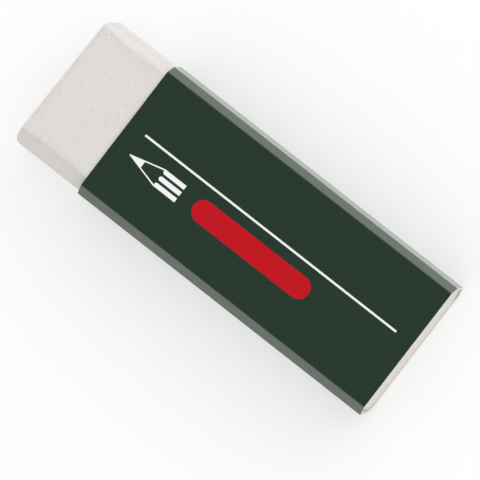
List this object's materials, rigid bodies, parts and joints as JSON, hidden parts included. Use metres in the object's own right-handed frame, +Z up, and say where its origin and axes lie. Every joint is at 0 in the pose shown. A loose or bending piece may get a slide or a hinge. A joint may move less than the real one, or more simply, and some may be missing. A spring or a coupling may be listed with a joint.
{
  "type": "vinyl eraser",
  "caption": "Bevelled block of white vinyl in a folded card sleeve that is open at both ends; it rubs out pencil, and the sleeve slides along the block.",
  "frame": {"origin": "middle of the footprint, on the surface that the sleeve's glued underside rests on", "axes": "+X along the block from its bare nose to its sleeved tail, +Y to the back, +Z up out of the printed top"},
  "size_m": [0.0624, 0.0226, 0.0124],
  "materials": {
    "white_vinyl": "matte, fine grained",
    "printed_card": "dark green print under a satin varnish, bare cream card inside and on the cut edges"
  },
  "bodies": {
    "sleeve": {"card_sleeve": "printed_card"},
    "block": {"eraser_block": "white_vinyl"}
  },
  "joints": [
    {"name": "block_slide", "type": "slide", "parent": "sleeve", "child": "block", "axis": [1, 0, 0], "range_m": [-0.052, 0.063]}
  ]
}
